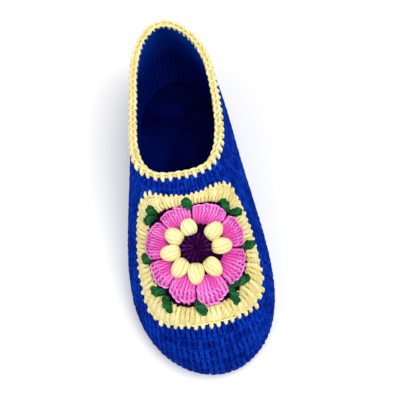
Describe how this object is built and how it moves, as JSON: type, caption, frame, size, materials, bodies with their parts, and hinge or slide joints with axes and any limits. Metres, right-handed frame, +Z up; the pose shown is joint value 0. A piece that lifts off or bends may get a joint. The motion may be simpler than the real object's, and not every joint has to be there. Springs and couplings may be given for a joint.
{
  "type": "crochet slipper",
  "caption": "Low hooked house slipper for a right foot, with a hollow soft upper, a flower square set in the vamp, a light edging round the collar and a hooked sole",
  "frame": {"origin": "on the floor, under the middle of the slipper's box", "axes": "toe along -Y, big-toe side along +X, +Z up from the sole"},
  "size_m": [0.096, 0.2418, 0.0862],
  "materials": {
    "blue_yarn": "hooked royal blue yarn, matt with a faint sheen",
    "yellow_yarn": "hooked pale yellow yarn, matt",
    "pink_yarn": "hooked bright pink yarn, soft sheen",
    "green_yarn": "twisted dark green yarn, matt",
    "purple_yarn": "hooked dark purple yarn, matt"
  },
  "bodies": {
    "root": {"sole": "blue_yarn", "upper": "blue_yarn", "collar_edging": "yellow_yarn", "square_border": "yellow_yarn", "vamp_panel": "purple_yarn", "flower_centre": "purple_yarn", "puff_1": "yellow_yarn", "puff_2": "yellow_yarn", "puff_3": "yellow_yarn", "puff_4": "yellow_yarn", "puff_5": "yellow_yarn", "puff_6": "yellow_yarn", "puff_7": "yellow_yarn", "puff_8": "yellow_yarn", "petal_1": "pink_yarn", "petal_2": "pink_yarn", "petal_3": "pink_yarn", "petal_4": "pink_yarn", "petal_5": "pink_yarn", "petal_6": "pink_yarn", "petal_7": "pink_yarn", "petal_8": "pink_yarn", "leaf_1": "green_yarn", "leaf_2": "green_yarn", "leaf_3": "green_yarn", "leaf_4": "green_yarn", "leaf_5": "green_yarn", "leaf_6": "green_yarn", "leaf_7": "green_yarn", "leaf_8": "green_yarn", "leaf_9": "green_yarn", "leaf_10": "green_yarn", "leaf_11": "green_yarn", "leaf_12": "green_yarn"}
  },
  "joints": []
}
